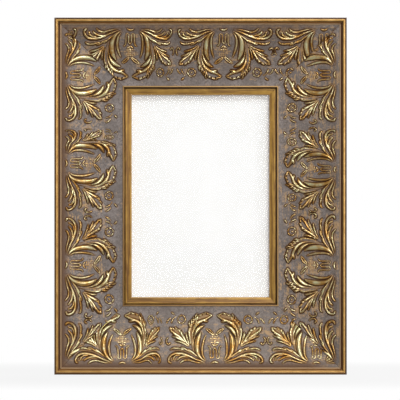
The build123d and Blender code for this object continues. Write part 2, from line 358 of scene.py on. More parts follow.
# One half of the leaf ornament, drawn as strokes: distance from its axis, distance in, half width, rise, in mm
leaf = {
    "reach": 44.8,
    "hinge": 18.0,
    "cell": 0.2,
    "across": (-4.0, 54.0),
    "margin": 1,
    "room": 2,
    "hollows": (
        ((19.0, 22.0, 0.6, 0.5), (21.2, 28.0, 1.0, 1.1), (22.4, 34.0, 1.5, 1.5), (22.3, 40.0, 2.2, 1.9),
         (20.2, 46.0, 2.8, 2.2), (16.0, 51.0, 3.4, 2.3), (11.0, 54.0, 3.3, 2.1), (6.5, 55.8, 1.9, 1.8),
         (3.4, 56.0, 0.6, 1.4)),
        ((24.5, 27.2, 0.7, 0.6), (28.5, 31.5, 1.8, 1.3), (33.0, 36.4, 3.2, 2.0), (37.5, 40.4, 3.4, 2.1),
         (42.2, 43.0, 1.4, 1.7)),
        ((24.0, 16.0, 0.8, 0.5), (30.0, 17.2, 1.9, 0.8), (36.0, 16.6, 2.4, 0.8), (41.0, 14.8, 1.8, 0.6)),
        ((16.0, 17.0, 0.6, 0.5), (24.0, 21.4, 1.2, 0.9), (31.0, 23.6, 1.5, 1.0), (38.0, 23.9, 1.4, 1.0),
         (42.0, 23.2, 0.6, 0.8)),
        ((1.6, 38.0, 0.4, 0.2), (4.6, 40.8, 1.2, 0.4), (7.8, 43.2, 0.5, 0.2)),
    ),
    "ridges": (
        # the two crescents beside the middle
        ((8.6, 13.8, 0.35, 0.5), (11.2, 17.8, 0.75, 1.2), (12.1, 23.0, 0.95, 1.5), (11.9, 28.0, 0.95, 1.5),
         (10.9, 32.5, 0.85, 1.4), (8.9, 37.8, 0.35, 0.8)),
        ((9.0, 12.9, 0.4, 0.6), (12.7, 15.4, 1.0, 1.3), (15.5, 19.4, 1.6, 1.9), (17.0, 24.5, 2.15, 2.3),
         (17.1, 29.5, 2.3, 2.4), (16.2, 34.5, 1.9, 2.2), (13.9, 39.8, 0.5, 1.4)),
        # turned lobe under the tall leaf
        ((10.0, 46.5, 0.5, 1.6), (12.8, 45.3, 1.4, 2.2), (15.8, 43.2, 1.8, 2.5), (18.2, 40.0, 1.4, 2.2),
         (19.6, 36.2, 0.6, 1.6), (20.3, 31.0, 0.4, 0.9), (20.0, 25.0, 0.3, 0.6)),
        # tall leaf: lower rim and rib, ball, and the scalloped upper rim
        ((2.6, 55.4, 0.5, 1.7), (5.4, 53.8, 0.95, 2.4), (8.6, 52.1, 1.2, 2.8), (12.0, 50.9, 1.5, 3.0),
         (15.4, 49.2, 1.7, 3.1), (18.2, 46.6, 1.5, 2.8), (20.3, 43.0, 0.8, 2.1), (21.4, 39.0, 0.5, 1.5),
         (21.8, 34.0, 0.4, 1.1), (21.4, 28.0, 0.35, 0.9), (20.4, 22.5, 0.3, 0.7)),
        ((6.8, 50.1, 0.8, 1.9), (8.8, 50.6, 1.45, 2.8), (11.0, 51.2, 1.1, 2.6)),
        ((2.8, 56.2, 0.4, 1.5), (5.8, 57.3, 0.7, 2.1), (8.6, 58.2, 0.85, 2.4), (10.6, 57.2, 0.6, 2.1)),
        ((9.4, 57.5, 0.5, 2.0), (12.0, 57.3, 0.85, 2.4), (13.8, 56.0, 0.6, 2.1)),
        ((12.8, 56.4, 0.5, 2.0), (15.2, 56.1, 0.8, 2.3), (16.3, 54.4, 0.5, 1.9)),
        ((16.9, 57.6, 0.4, 1.8), (17.9, 55.7, 0.85, 2.6), (18.4, 53.4, 0.7, 2.5), (18.6, 51.0, 0.45, 2.3)),
        ((15.8, 55.0, 0.4, 2.0), (16.7, 52.6, 0.5, 2.3), (17.6, 50.0, 0.5, 2.4), (18.8, 47.4, 0.4, 2.2)),
        ((19.6, 54.6, 0.4, 1.7), (20.3, 52.4, 0.85, 2.5), (20.5, 50.2, 0.65, 2.4), (20.4, 48.0, 0.4, 2.2)),
        ((21.5, 52.0, 0.4, 1.7), (22.0, 49.9, 0.8, 2.5), (22.1, 47.6, 0.6, 2.3), (21.8, 45.0, 0.4, 2.0)),
        ((23.3, 50.2, 0.4, 1.6), (23.8, 47.9, 1.05, 2.6), (23.6, 45.4, 0.75, 2.2), (23.3, 42.0, 0.45, 1.8)),
        ((24.3, 43.6, 0.4, 1.4), (24.7, 41.0, 0.65, 1.9), (24.5, 37.5, 0.5, 1.6), (24.0, 33.5, 0.4, 1.2),
         (23.2, 29.0, 0.35, 0.9)),
        ((27.2, 39.6, 0.4, 1.4), (27.2, 37.4, 0.9, 2.1), (26.5, 34.2, 0.75, 1.9), (25.4, 31.0, 0.5, 1.4),
         (24.4, 28.2, 0.4, 1.0)),
        # side fan
        ((24.6, 27.4, 0.4, 0.8), (27.8, 31.6, 0.6, 1.3), (30.4, 36.0, 0.9, 2.0), (32.2, 39.4, 1.4, 2.6),
         (33.4, 42.2, 0.8, 2.2)),
        ((32.8, 40.6, 0.7, 2.1), (34.8, 42.2, 0.95, 2.4), (36.4, 43.2, 0.95, 2.4), (37.9, 44.5, 0.6, 1.9)),
        ((28.5, 31.0, 0.4, 1.0), (32.5, 34.6, 0.7, 1.7), (36.0, 37.4, 0.8, 2.0), (39.6, 39.6, 1.0, 2.3),
         (42.0, 41.6, 1.15, 2.4), (43.2, 44.2, 0.6, 1.8)),
        ((39.2, 43.0, 0.5, 1.7), (40.8, 43.9, 0.6, 1.9), (43.2, 44.3, 0.5, 1.8)),
        ((30.2, 31.0, 0.4, 1.2), (33.6, 33.4, 0.75, 2.0), (37.4, 35.2, 0.9, 2.3), (41.2, 36.5, 0.5, 1.7)),
        ((25.2, 26.6, 0.4, 0.9), (28.6, 28.8, 0.6, 1.5), (32.0, 30.4, 0.8, 1.9), (35.4, 31.4, 0.85, 2.0),
         (38.3, 31.9, 0.45, 1.5)),
        # low leaf in three lobes
        ((13.6, 15.0, 0.35, 0.6), (18.2, 18.6, 0.6, 1.2), (22.2, 21.8, 0.8, 1.7), (24.8, 23.7, 0.5, 1.5)),
        ((22.0, 21.0, 0.5, 1.3), (26.6, 23.2, 0.8, 1.9), (29.4, 24.9, 0.8, 2.0), (32.2, 25.7, 0.5, 1.6)),
        ((29.5, 23.6, 0.5, 1.4), (34.0, 24.6, 0.85, 2.0), (38.2, 25.1, 0.9, 2.0), (41.4, 24.5, 0.75, 1.8),
         (42.8, 23.2, 0.4, 1.3)),
        # large curl and the strokes under it
        ((9.6, 11.9, 0.35, 0.5), (14.6, 13.3, 0.6, 1.1), (20.0, 15.4, 0.8, 1.6), (25.4, 17.9, 1.0, 2.0),
         (30.6, 19.5, 1.15, 2.3), (35.6, 20.0, 1.2, 2.4), (39.8, 19.3, 1.15, 2.4), (42.8, 17.2, 1.05, 2.3),
         (44.3, 14.3, 0.95, 2.1), (44.0, 12.0, 0.9, 1.9), (42.4, 11.2, 0.7, 1.6)),
        ((22.6, 16.3, 0.4, 1.1), (27.4, 17.2, 0.75, 1.7), (31.6, 16.6, 0.85, 1.9), (34.6, 15.0, 0.8, 1.8),
         (36.2, 13.4, 0.5, 1.4)),
        ((33.0, 18.4, 0.4, 1.3), (36.6, 18.0, 0.7, 1.8), (39.0, 16.3, 0.8, 1.9), (40.0, 13.8, 0.55, 1.5)),
        ((9.6, 11.1, 0.3, 0.4), (15.0, 11.2, 0.5, 0.9), (20.0, 12.3, 0.65, 1.3), (24.4, 13.5, 0.75, 1.5),
         (28.2, 13.4, 0.8, 1.6), (31.0, 12.2, 0.75, 1.5), (32.6, 10.7, 0.5, 1.2)),
        # bud at the root
        ((0.0, 11.9, 0.8, 1.2), (1.8, 11.4, 0.75, 1.1), (3.2, 10.6, 0.4, 0.7)),
    ),
    "lines": (
        # small curl between two leaves
        ((45.3, 35.4, 0.35, 0.8), (46.6, 33.8, 0.55, 1.1), (46.9, 31.4, 0.6, 1.2), (46.0, 29.3, 0.6, 1.2),
         (44.4, 28.8, 0.6, 1.2), (43.5, 30.0, 0.75, 1.3)),
        # stems in the middle field
        ((1.35, 15.8, 0.35, 0.4), (1.4, 19.5, 0.5, 0.8), (1.35, 23.2, 0.5, 0.9), (0.0, 25.0, 0.5, 0.8)),
        ((4.1, 16.0, 0.35, 0.4), (4.1, 20.0, 0.5, 0.8), (4.2, 24.0, 0.55, 0.9), (5.0, 26.4, 0.55, 0.9),
         (6.3, 27.0, 0.35, 0.6)),
        ((1.35, 16.0, 0.35, 0.5), (2.7, 15.2, 0.35, 0.5), (4.1, 16.0, 0.35, 0.5)),
        ((0.4, 27.2, 0.5, 0.6), (2.4, 28.6, 0.6, 0.7)),
        # pair of small leaves over it
        ((0.6, 37.4, 0.3, 0.6), (2.6, 40.2, 0.5, 0.9), (4.8, 42.2, 0.5, 0.9), (7.6, 43.4, 0.35, 0.6)),
        ((1.4, 37.2, 0.3, 0.5), (4.4, 39.4, 0.45, 0.8), (7.0, 41.6, 0.45, 0.8), (8.6, 43.2, 0.3, 0.5)),
        # rosette eye and sprigs
        ((31.0, 51.6, 0.7, 0.7), (31.6, 52.1, 0.7, 0.7)),
        ((39.3, 53.3, 0.3, 0.5), (40.8, 51.6, 0.6, 0.9), (41.6, 48.9, 0.5, 0.7)),
        ((42.4, 53.4, 0.3, 0.5), (44.6, 51.6, 0.55, 0.8), (46.0, 48.8, 0.5, 0.7)),
        ((39.2, 56.8, 0.4, 0.6), (40.4, 58.2, 0.75, 1.0), (41.6, 58.9, 0.5, 0.8)),
        ((37.4, 54.6, 0.35, 0.5), (38.9, 54.0, 0.35, 0.6)),
    ),
    # cuts between the teeth of the tall leaf, then of the side fan
    "notches": (
        ((8.2, 59.4), (7.8, 56.8)), ((12.2, 59.0), (12.0, 56.4)), ((15.7, 58.2), (15.2, 55.4)),
        ((19.2, 56.4), (18.5, 53.4)), ((21.3, 53.8), (20.6, 51.0)), ((23.2, 51.4), (22.4, 48.6)),
        ((25.0, 47.2), (24.0, 44.4)), ((26.2, 41.2), (25.6, 38.4)), ((35.7, 45.2), (35.3, 42.6)),
        ((39.2, 46.0), (39.0, 43.6)), ((31.6, 43.2), (32.5, 40.8)), ((44.2, 40.8), (41.0, 39.4)),
        ((41.4, 35.2), (38.6, 34.6)), ((26.6, 26.2), (25.8, 24.2)), ((33.4, 27.2), (32.8, 25.4)),
    ),
    "rosette": {"middle": (31.4, 52.0), "radius": 3.7, "petals": 6, "start": 12, "sweep": 18,
                "halfWidth": 0.6, "rise": 0.9},
    "stipple": {"middle": (0.0, 33.0), "size": (9.5, 6.5), "pitch": 1.9, "rise": 0.35, "fall": 3, "clear": 0.3,
                "grain": 0.35, "grainSize": 0.5, "gilt": 0.8},
    "rubbing": {"level": 2, "fall": 1.4},
    "moat": {"depth": 0.55, "width": 0.9},
    "gain": 1.2,
    # how each kind of stroke rises from edge to middle, and how bright it is
    "hollowForm": {"soft": 0.8, "inset": 0.4, "floor": 0.6, "rim": 0.45, "shine": 0.1, "rimShine": 0.22},
    "ridgeForm": {"power": 0.6, "crown": 1.2, "fullShine": 1.6, "leastShine": 0.4},
    "lineForm": {"gain": 1.25, "shine": 0.85},
    "notchForm": {"half": 0.45, "reach": 1.6, "depth": 0.8, "bare": 0.9, "samples": 12},
    # softening of each layer, and dark patina and painted shade by depth under the near and the wide surroundings
    "soft": {"rise": 0.21, "gilt": 0.18, "dirtAndShade": 0.7, "wideShadeBlur": 2.4, "rubbed": 1.0},
    "soilAndShade": {"depth": 0.42, "wideShadeDepth": 0.9, "wideShade": 0.1, "trench": 0.1, "giltShare": 0.4},
}


def unit(values):
    return np.clip(values, 0, 1)


# A smooth line through a stroke's points, sampled finely
def smoothLine(points, spacing=0.3, leastHalf=0.2):
    knots = np.array(points, float)
    knots = np.vstack((2 * knots[0] - knots[1], knots, 2 * knots[-1] - knots[-2]))
    runs = []
    for p0, p1, p2, p3 in zip(knots, knots[1:], knots[2:], knots[3:]):
        count = max(3, int(np.hypot(*(p2 - p1)[:2]) / spacing))
        t = np.linspace(0, 1, count, endpoint=False)[:, None]
        runs.append(0.5 * (2 * p1 + (p2 - p0) * t + (2 * p0 - 5 * p1 + 4 * p2 - p3) * t ** 2
                           + (3 * p1 - p0 - 3 * p2 + p3) * t ** 3))
    runs.append(knots[-2][None, :])
    line = np.vstack(runs)
    line[:, 2] = np.maximum(line[:, 2], leastHalf)
    return line


# A field blurred over a radius in cells
def soften(field, radius):
    reach = max(1, int(3 * radius))
    weights = np.exp(-0.5 * (np.arange(-reach, reach + 1) / radius) ** 2)
    weights /= weights.sum()
    for axis in (0, 1):
        padded = np.pad(field, [(reach, reach) if k == axis else (0, 0) for k in (0, 1)], mode="edge")
        field = np.apply_along_axis(lambda row: np.convolve(row, weights, mode="valid"), axis, padded)
    return field


def drawPetals():
    rose = leaf["rosette"]
    petals = []
    for k in range(rose["petals"]):
        heading = 360 / rose["petals"] * k + rose["start"]
        angles = [math.radians(heading + d * rose["sweep"]) for d in (-1, 0, 1)]
        petals.append([(rose["middle"][0] + rose["radius"] * math.cos(t),
                        rose["middle"][1] + rose["radius"] * math.sin(t),
                        rose["halfWidth"], rose["rise"]) for t in angles])
    return petals


# The half leaf on a fine lattice, a mm from its axis and v mm in: rise, gilt, dark patina with painted shade, and
# rubbed ground
def drawLeaf():
    cell = leaf["cell"]
    across = np.arange(*leaf["across"], cell)
    inward = np.arange(panel["start"] - leaf["margin"], panel["end"] + leaf["margin"], cell)
    a, v = np.meshgrid(np.abs(across), inward, indexing="ij")
    rise = np.zeros(a.shape)
    gilt = np.zeros(a.shape)
    gap = np.full(a.shape, np.inf)
    bowl, crown, thin, cutting = (leaf[kind + "Form"] for kind in ("hollow", "ridge", "line", "notch"))
    strokes = [(kind, s) for kind in ("hollow", "ridge", "line") for s in leaf[kind + "s"]]
    strokes += [("line", s) for s in drawPetals()]
    for kind, points in strokes:
        line = smoothLine(points)
        room = line[:, 2].max() + leaf["room"]
        (a0, v0), (a1, v1) = line[:, :2].min(axis=0) - room, line[:, :2].max(axis=0) + room
        near = (a > a0) & (a < a1) & (v > v0) & (v < v1)
        away = np.hypot(a[near][:, None] - line[None, :, 0], v[near][:, None] - line[None, :, 1])
        pick = np.argmin(away - line[None, :, 2], axis=1)
        away = away[np.arange(len(pick)), pick]
        half, tall = line[pick, 2], line[pick, 3]
        x = away / half
        if kind == "hollow":
            edge = unit((half - away) / bowl["soft"] + bowl["inset"])
            side = unit(x) ** 2
            lift = tall * edge * edge * (3 - 2 * edge) * (bowl["floor"] + bowl["rim"] * side)
            shine = bowl["shine"] + bowl["rimShine"] * side
        else:
            lift = tall * unit(1 - x ** 2) ** crown["power"]
            shine = unit(crown["crown"] - x ** 2)
            if kind == "line":
                lift *= thin["gain"]
                shine *= thin["shine"]
            else:
                shine *= np.clip(tall / crown["fullShine"], crown["leastShine"], 1)
            gap[near] = np.minimum(gap[near], away - half)
        gilt[near] = np.where(lift > rise[near], shine, gilt[near])
        rise[near] = np.maximum(rise[near], lift)
    for points in leaf["notches"]:
        line = np.linspace(*points, cutting["samples"])
        away = np.hypot(a[..., None] - line[:, 0], v[..., None] - line[:, 1]).min(axis=2)
        cut = unit(cutting["reach"] - away / cutting["half"])
        rise *= 1 - cutting["depth"] * cut
        gilt *= 1 - cutting["bare"] * cut
    moat, spot, soilAndShade = leaf["moat"], leaf["stipple"], leaf["soilAndShade"]
    trench = unit(1 - gap / moat["width"]) * (gap > 0)
    spread = np.abs(a - spot["middle"][0]) / spot["size"][0] + np.abs(v - spot["middle"][1]) / spot["size"][1]
    mask = unit(spot["fall"] - spot["fall"] * spread) * (gap > spot["clear"])
    rng = np.random.default_rng(4)
    grain = soften(rng.normal(size=a.shape), spot["grainSize"] / cell)
    wave = math.pi / spot["pitch"]
    dots = np.cos((a + v) * wave) * np.cos((a - v) * wave) + spot["grain"] * grain / grain.std()
    rise = leaf["gain"] * rise - moat["depth"] * trench + spot["rise"] * dots * mask
    gilt = unit(gilt + spot["gilt"] * mask * unit(dots))
    soft = {name: radius / cell for name, radius in leaf["soft"].items()}
    rise = soften(rise, soft["rise"])
    gilt = soften(gilt, soft["gilt"])
    # dark patina in the narrow hollows; the wide halo round the strokes and the dark trench along them are painted
    # shade
    dirtAndShade = unit((soften(rise, soft["dirtAndShade"]) - rise) / soilAndShade["depth"]) * (1 - soilAndShade["giltShare"] * gilt)
    wideShade = unit((soften(rise, soft["wideShadeBlur"]) - rise) / soilAndShade["wideShadeDepth"])
    dirtAndShade = unit(dirtAndShade + soilAndShade["trench"] * trench + soilAndShade["wideShade"] * wideShade)
    rubbed = soften(unit(leaf["rubbing"]["level"] - leaf["rubbing"]["fall"] * spread), soft["rubbed"])
    return across[0], inward[0], np.stack((rise, gilt, dirtAndShade, rubbed))


leafStart, leafLow, leafSheet = drawLeaf()
print("leaf drawn", leafSheet.shape)


# All four layers of the leaf at any places, read between the lattice's points, a hair short of its last ones
def readLeaf(a, v):
    cell, last = leaf["cell"], np.array(leafSheet.shape[1:]) - 1.001
    i, j = np.clip((a - leafStart) / cell, 0, last[0]), np.clip((v - leafLow) / cell, 0, last[1])
    i0, j0 = i.astype(int), j.astype(int)
    fi, fj = i - i0, j - j0
    near = leafSheet[:, i0, j0] * (1 - fj) + leafSheet[:, i0, j0 + 1] * fj
    far = leafSheet[:, i0 + 1, j0] * (1 - fj) + leafSheet[:, i0 + 1, j0 + 1] * fj
    return near * (1 - fi) + far * fi


# Height of the bare hollow, an arc through its three given points
def bareArc(v):
    (v1, h1), (v2, h2), (v3, h3) = panel["hollow"]
    grid = np.array(((v2 - v1, h2 - h1), (v3 - v1, h3 - h1))) * 2
    known = np.array((v2 ** 2 - v1 ** 2 + h2 ** 2 - h1 ** 2, v3 ** 2 - v1 ** 2 + h3 ** 2 - h1 ** 2))
    cv, ch = np.linalg.solve(grid, known)
    return ch - np.sqrt((v1 - cv) ** 2 + (h1 - ch) ** 2 - (v - cv) ** 2)


# The panel's face follows the arc, rolls off at its outer edge and flares up at its inner one
def hollowHeight(v):
    roll, flare = panel["roll"], panel["flare"]
    rolled = unit(1 - (v - panel["start"]) / roll["width"]) ** roll["power"]
    flared = unit(1 - (panel["end"] - v) / flare["width"]) ** flare["power"]
    return bareArc(v) - roll["drop"] * rolled + flare["lift"] * flared


# Each side: the middle of its outer edge, the way it runs, the way in and half its length
sides = {
    "bottom": ((0, 0, 0), (1, 0, 0), (0, 0, 1), outer["halfWidth"]),
    "top": ((0, 0, outer["height"]), (-1, 0, 0), (0, 0, -1), outer["halfWidth"]),
    "left": ((-outer["halfWidth"], 0, middle), (0, 0, -1), (1, 0, 0), middle),
    "right": ((outer["halfWidth"], 0, middle), (0, 0, 1), (-1, 0, 0), middle),
}


# Places on a side, u mm along it, v mm in and h mm off the back
def sidePoint(side, u, v, h):
    start, along, inward, _ = sides[side]
    place = np.array(start)[None, :] + mm * (u[:, None] * np.array(along) + v[:, None] * np.array(inward))
    place[:, 1] = outer["back"] - mm * h
    return place


# Rise, gilt, dark patina with painted shade, and rubbing of a side's leaves, stamped one half at a time
def stampLeaves(side, u, v):
    rise, gilt, dirtAndShade, rubbed = np.zeros((4, len(u)))
    waveIn, waveAlong = pressing["waveIn"], pressing["waveAlong"]
    for index, (axis, before, after) in enumerate(leafPlaces[side]):
        hinge = 0.0 if (side, index) == evenLeaf else leaf["hinge"]
        for way, reach in ((-1, before), (1, after)):
            wander = waveIn["size"] * np.sin(waveIn["pace"] * v + waveIn["shift"] * index + way)
            wander += waveAlong["size"] * np.sin(waveAlong["pace"] * u + waveAlong["shift"] * index)
            a = (u - axis) * way
            here = (a >= 0) & (a < reach + pressing["spill"])
            squeeze = (leaf["reach"] - hinge) / (reach - hinge)
            a = np.where(a > hinge, hinge + (a - hinge) * squeeze, a)
            shift = wander[here] * unit(a[here] / pressing["still"])
            inward = v[here] + pressing["inwardShare"] * wander[here]
            lift, shine, soilAndShade, worn = readLeaf(a[here] + shift, inward)
            gilt[here] = np.where(lift > rise[here], shine, gilt[here])
            rise[here] = np.where(np.abs(lift) > np.abs(rise[here]), lift, rise[here])
            dirtAndShade[here] = np.maximum(dirtAndShade[here], soilAndShade)
            rubbed[here] = np.maximum(rubbed[here], worn)
    if side == bareCorner["side"]:
        past = unit((bareCorner["along"] - u) / bareCorner["soft"])
        kept = 1 - past * unit((v - bareCorner["inward"]) / bareCorner["soft"])
        rise, gilt, dirtAndShade = rise * kept, gilt * kept, dirtAndShade * kept
    return rise, gilt, dirtAndShade, rubbed


# The border goes down to the rail, and long strips close the underside
def closeUnder(mesh, side, u, v):
    count = len(mesh.vertices)
    edit("DESELECT")
    bpy.ops.mesh.select_mode(type="EDGE")
    bpy.ops.mesh.select_non_manifold()
    bpy.ops.mesh.extrude_edges_move()
    solid = bmesh.from_edit_mesh(mesh)
    solid.verts.ensure_lookup_table()
    rows = {}
    for vert in solid.verts:
        if vert.index >= count or vert.select:
            face = [e.other_vert(vert) for e in vert.link_edges if not e.other_vert(vert).select]
            source = slice(face[0].index, face[0].index + 1)
            vert.co = sidePoint(side, u[source], v[source], bareArc(v[source]) - panel["thickness"])[0]
            rows.setdefault(round(float(v[source][0]), 3), []).append((u[source][0], vert))
    steps = [[vert for _, vert in sorted(rows[key], key=lambda item: item[0])] for key in sorted(rows)]
    for here, there in zip(steps, steps[1:]):
        solid.faces.new(here + there[::-1])
    bmesh.update_edit_mesh(mesh)
    bpy.ops.mesh.select_all(action="SELECT")
    bpy.ops.mesh.normals_make_consistent(inside=False)
    bpy.ops.object.mode_set(mode="OBJECT")


def carvePanel(side):
    bpy.ops.mesh.primitive_grid_add(x_subdivisions=panel["columns"][side], y_subdivisions=panel["rows"], size=2)
    piece = bpy.context.object
    piece.name = side + "Carving"
    mesh = piece.data
    count = len(mesh.vertices)
    flat = np.zeros(count * 3)
    mesh.vertices.foreach_get("co", flat)
    flat = flat.reshape(-1, 3)
    halfLength = sides[side][3] / mm
    v = panel["start"] + (flat[:, 1] + 1) / 2 * (panel["end"] - panel["start"])
    u = flat[:, 0] * (halfLength - v)
    rise, gilt, dirtAndShade, rubbed = stampLeaves(side, u, v)
    body = unit(rise / panel["leafBody"]["rise"] - panel["leafBody"]["from"])
    # painted light and shade by side: more gold on the lower side, and the soil scaled down below and up above
    gilt = np.maximum(gilt * panel["giltGain"][side], panel["hollowGilt"][side] * body)
    gilt = np.minimum(gilt, 1)
    mitre = panel["mitreDirt"]
    ends = unit((halfLength - np.abs(u) - v) / mitre["width"])
    fade = unit((v - panel["start"]) / panel["edgeFade"])
    fade *= unit((panel["end"] - v) / panel["edgeFade"])
    dirtAndShade = np.maximum(dirtAndShade * fade * panel["soilAndShade"][side], mitre["share"] * (1 - ends))
    places = sidePoint(side, u, v, hollowHeight(v) + rise * fade)
    mesh.vertices.foreach_set("co", places.ravel())
    closeUnder(mesh, side, u, v)
    bpy.ops.object.shade_smooth_by_angle(angle=panel["smooth"])
    for name, values, under in (("gilt", gilt, 0), ("dirtAndShade", dirtAndShade, 1), ("rubbed", rubbed, 0)):
        layer = mesh.attributes.new(name, "FLOAT", "POINT")
        filled = np.full(len(mesh.vertices), float(under))
        filled[:count] = values
        layer.data.foreach_set("value", filled)
    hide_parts(side + "_ornament")
    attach(piece, "frame")
    print("carved", side, len(mesh.polygons))
    return piece


# Where the ornament's finish changes: mm in from the edge, then metres along X and Z
zones = {
    "rim": (6.7, 7.2),
    "outerDarkening": (7.5, 17.0),
    "innerRub": (46.0, 57.0),
    "right": (0.07, 0.08),
    "outerDarkRight": (0.1, 0.135),
    "lower": (0.05, 0.075),
    "upper": (0.268, 0.285),
    "outerDarkUpper": (0.3, 0.335),
    "mitre": (-0.0005, 0.0005),
}


def ornamentFinish():
    finish = Finish("leafGilding")
    blend, step, noise = finish.blend, finish.step, finish.noise
    x, _, z = finish.axes(finish.place)
    inward = inwardOf(finish)
    gilt, dirtAndShade, through = finish.mark("gilt"), finish.mark("dirtAndShade"), finish.mark("rubbed")
    lying = step(outer["halfWidth"] - abs(x) - z.least(outer["height"] - z), *zones["mitre"])
    right = step(x, *zones["right"])
    broad = noise(38, 2)
    patch = noise(90, 4, 0.6)
    speck = noise(420, 3, 0.6)
    fine = noise(1100, 3, 0.6)
    # grey ground with darker specks
    grey = blend(step(broad, 0.3, 0.7), (118, 109, 105), (149, 139, 135))
    grey = blend(step(0.5 * speck + 0.5 * fine, 0.36, 0.6), (105, 96, 90), grey)
    # gold rubbed through it, in streaks along each side
    through = through.most(0.5 - 0.5 * step(inward, *zones["innerRub"]))
    through = through.most(right * 0.6)
    along = noise(1, 3, 0.6, (90, 900, 1500)) * lying
    upright = noise(1, 3, 0.6, (1500, 900, 90)) * (1 - lying)
    wear = 0.34 * patch + 0.22 * speck + 0.16 * fine + 0.28 * (along + upright)
    rubbed = step(wear + 0.09 * through, 0.55, 0.63) * 0.65
    ground = blend(rubbed, grey, (204, 162, 106))
    # painted shade on the upper and right sides, and painted light on the lower one
    paintedShade = 0.3 * step(z, *zones["upper"]) * lying + 0.14 * right * (1 - lying)
    ground = blend(paintedShade, ground, (80, 65, 50))
    pale = 0.1 * lying * (1 - step(z, *zones["lower"]))
    ground = blend(pale, ground, (184, 167, 150))
    # dark brown along the outer edge, less of it to the right and above, and a rim rubbed bare
    outerDarkening = 0.95 - 0.95 * step(x, *zones["outerDarkRight"]) - 0.5 * step(z, *zones["outerDarkUpper"])
    edge = 1 - step(inward, *zones["outerDarkening"])
    ground = blend(edge * outerDarkening.most(0.0), ground, (99, 73, 54))
    rim = 1 - step(inward, *zones["rim"])
    ground = blend(rim * 0.5, ground, (169, 139, 105))
    # gold on what is raised, worn off in places
    gold = blend(step(patch, 0.36, 0.64), (214, 164, 84), (248, 243, 195))
    gold = blend(step(speck, 0.52, 0.75) * 0.25, gold, (175, 130, 67))
    worn = gilt * (0.36 + 1.15 * noise(300, 4, 0.65))
    cover = step(worn, 0.3, 0.72)
    raised = step(gilt, 0.12, 0.45)
    colour = blend(raised * 0.7, ground, (160, 114, 39))
    colour = blend(cover, colour, gold)
    # dark patina and painted shade beside the strokes, brown at its edges and dark in the depth
    soilAndShade = dirtAndShade * (0.8 + 0.4 * fine)
    colour = blend(step(soilAndShade, 0.05, 0.35) * (0.2 + 0.6 * raised), colour, (137, 88, 22))
    colour = blend(step(soilAndShade, 0.22, 0.75) * 0.92, colour, (65, 35, 5))
    bumpy = finish.bump((fine * 0.4 + speck * 0.6) * (1 - 0.8 * cover), 0.5, 0.0004)
    return finish.surface(Base_Color=colour, Metallic=cover * 0.85, Roughness=0.55 - 0.26 * cover,
                          Coat_Weight=cover * 0.65, Coat_Roughness=0.2, Specular_IOR_Level=0.2, Normal=bumpy)


carving = ornamentFinish()
for side in sides:
    clad(carvePanel(side), carving)

# Edges of the rail's parts: mm in from the outer edge, and for the last two mm off the back
edges = {
    "crestStart": (1.2, 2.0),
    "crestEnd": (3.2, 3.9),
    "grooveStart": (3.6, 4.1),
    "grooveEnd": (5.6, 6.0),
    "filletEnd": (6.6, 6.9),
    "rabbet": (62.0, 62.4),
    "lip": (64.2, 64.7),
    "lipEnd": (65.5, 65.9),
    "back": (1.2, 2.0),
    "rabbetTop": (9.2, 9.6),
}


# Rails: gilt bead, groove painted dark as shade, gilt fillet and lip on the face, bare wood behind
def railFinish(name, grainScale, axis, grooveShadeTint, nearHighlightShift):
    finish = Finish(name)
    blend, step, noise = finish.blend, finish.step, finish.noise
    inward, high = inwardOf(finish), heightOf(finish)
    far = farSide(finish, axis)
    patch = noise(110, 4, 0.6)
    fine = noise(800, 3)
    streak = noise(1, 4, 0.6, grainScale)
    gold = blend(step(patch, 0.3, 0.7), (188, 142, 72), (226, 182, 107))
    gold = blend(step(fine, 0.6, 0.75) * 0.4, gold, (129, 83, 41))
    # painted shade by side: the gold is duller on the left and lower sides, offsetting the light that falls there
    gold = blend(0.32 - 0.32 * far, gold, (150, 105, 50))
    # painted highlight: the gold crest band lies further in on the left and lower sides, where the light catches the
    # bead
    across = inward - nearHighlightShift * (1 - far)
    crest = finish.band(across, edges["crestStart"], edges["crestEnd"])
    flank = blend(step(streak, 0.35, 0.65), (63, 37, 14), (86, 54, 24))
    # painted light by side: the flanks are lighter on the left and lower sides
    flank = blend(0.45 - 0.45 * far, flank, (124, 86, 37))
    colour = blend(crest, flank, gold)
    # painted shade in the groove, lighter on the top and bottom rails than on the stiles
    pastGroove = step(inward, *edges["grooveEnd"])
    groove = step(across, *edges["grooveStart"]) * (1 - pastGroove)
    colour = blend(groove, colour, grooveShadeTint)
    edging = pastGroove * (1 - step(inward, *edges["filletEnd"]))
    colour = blend(edging, colour, blend(patch, (167, 137, 101), (192, 163, 124)))
    lip = step(inward, *edges["lip"])
    # painted light and shade: the lip gold is darker on the left and lower sides and lighter on the right and upper
    # ones
    lipGold = blend(far, (139, 105, 58), (176, 139, 86))
    colour = blend(lip, colour, blend(patch * 0.35, lipGold, (214, 174, 112)))
    # painted shade: the lip's inner face is dark, as in the gap's shadow
    colour = blend(step(inward, *edges["lipEnd"]), colour, (81, 51, 23))
    wood = blend(streak, (168, 126, 82), (208, 172, 124))
    wood = blend(step(fine, 0.55, 0.8) * 0.3, wood, (140, 100, 62))
    behind = 1 - step(high, *edges["back"])
    inside = step(inward, *edges["rabbet"]) * (1 - step(high, *edges["rabbetTop"]))
    bare = behind.most(inside)
    colour = blend(bare, colour, wood)
    shine = (1 - bare) * crest.most(lip)
    bumpy = finish.bump(fine * 0.5 + streak * 0.5, 0.18, 0.0003)
    return finish.surface(Base_Color=colour, Metallic=shine * 0.45, Roughness=0.6 - 0.14 * shine, Normal=bumpy)


acrossFinish = railFinish("railGilding", (14, 260, 260), 2, (141, 95, 41), 0.6)
uprightFinish = railFinish("stileGilding", (260, 260, 14), 0, (90, 54, 22), 0.15)

